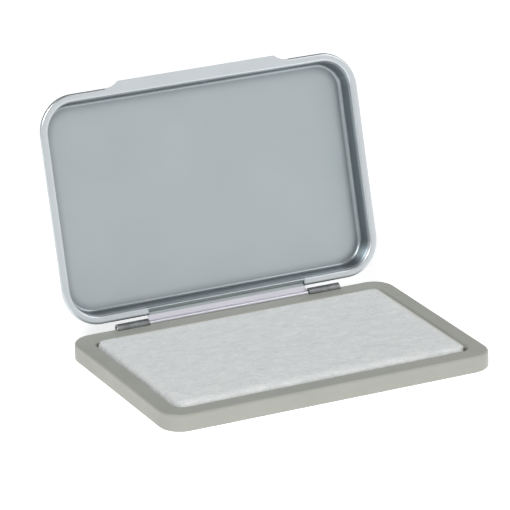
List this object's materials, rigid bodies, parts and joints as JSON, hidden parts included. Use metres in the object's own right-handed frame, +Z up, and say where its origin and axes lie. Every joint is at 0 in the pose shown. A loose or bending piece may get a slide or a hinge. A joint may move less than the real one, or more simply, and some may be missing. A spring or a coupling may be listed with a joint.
{
  "type": "hinged stamp ink pad",
  "caption": "Low rectangular stamp pad: a moulded tray with a cloth-covered felt pad and a rolled-edge metal lid standing open on a rear strap hinge.",
  "frame": {"origin": "centre of the tray's underside", "axes": "+X along the hinge and the tray's long side, -Y out of the front, +Z up"},
  "size_m": [0.126, 0.1098, 0.0894],
  "materials": {
    "tray_plastic": "satin moulded, warm grey",
    "felt": "wool felt",
    "cover_cloth": "nonwoven cloth, uninked",
    "strap_steel": "plain dull steel",
    "pin_steel": "drawn wire",
    "lid_tinplate": "satin silver-grey"
  },
  "bodies": {
    "base": {"base_tray": "tray_plastic", "felt_pad": "felt", "pad_cover": "cover_cloth", "hinge_strap_left": "strap_steel", "hinge_strap_right": "strap_steel"},
    "lid": {"lid_shell": "lid_tinplate", "hinge_pin": "pin_steel"}
  },
  "joints": [
    {"name": "lid_hinge", "type": "hinge", "parent": "base", "child": "lid", "pos_m": [0, 0.0404, 0.0064], "axis": [1, 0, 0], "range_deg": [0, 106]}
  ]
}
